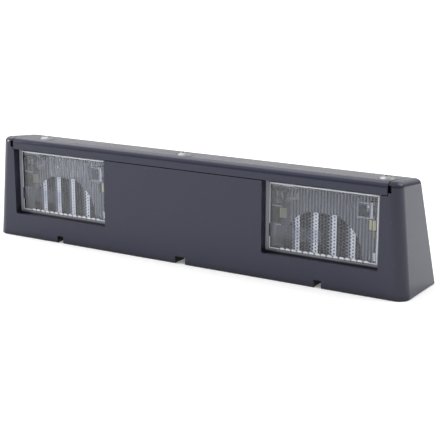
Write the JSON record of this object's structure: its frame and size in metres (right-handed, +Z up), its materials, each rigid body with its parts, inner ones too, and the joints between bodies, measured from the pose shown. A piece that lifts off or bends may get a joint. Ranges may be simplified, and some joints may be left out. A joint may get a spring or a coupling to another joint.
{
  "type": "license plate light",
  "caption": "Black wedge-shaped license plate light: clear fluted windows set deep in a long housing, a screwed top cover and drain notches along the foot.",
  "frame": {"origin": "middle of the housing's length and foot depth, on the mounting surface under the foot", "axes": "+X runs along the housing's length, -Y is the way the windows face, +Z is up from the foot"},
  "size_m": [0.24, 0.038, 0.055],
  "materials": {
    "housing_plastic": "smooth gloss",
    "inner_plastic": "moulded",
    "base_plastic": "moulded",
    "seal_rubber": "matt",
    "screw_steel": "bright plated",
    "inner_steel": "zinc plated",
    "lens_clear": "clear",
    "board_black": "lacquered",
    "board_green": "lacquered",
    "led_yellow": "smooth",
    "component_black": "moulded",
    "winding_brown": "varnished",
    "can_blue": "smooth",
    "terminal_green": "moulded",
    "wire_red": "smooth",
    "wire_black": "smooth",
    "vent_grey": "moulded"
  },
  "bodies": {
    "root": {"housing": "housing_plastic", "top_cover": "housing_plastic", "cover_seal": "seal_rubber", "cover_screws": "screw_steel", "lens_left": "lens_clear", "lens_right": "lens_clear", "lens_seal_left": "seal_rubber", "lens_seal_right": "seal_rubber", "light_box_left": "inner_plastic", "light_box_right": "inner_plastic", "light_box_screws": "inner_steel", "led_board_left": "board_black", "led_board_right": "board_black", "leds_left": "led_yellow", "leds_right": "led_yellow", "board_screws": "inner_steel", "base_plate": "base_plastic", "base_seal": "seal_rubber", "base_screws": "inner_steel", "mount_sleeves": "inner_steel", "cable_grommet": "seal_rubber", "breather_vent": "vent_grey", "driver_board": "board_green", "driver_screws": "inner_steel", "driver_chip": "component_black", "choke_coil": "winding_brown", "capacitor": "can_blue", "resistors": "component_black", "terminal_block": "terminal_green", "terminal_screws": "inner_steel", "wire_red_left": "wire_red", "wire_black_left": "wire_black", "wire_red_right": "wire_red", "wire_black_right": "wire_black"}
  },
  "joints": []
}
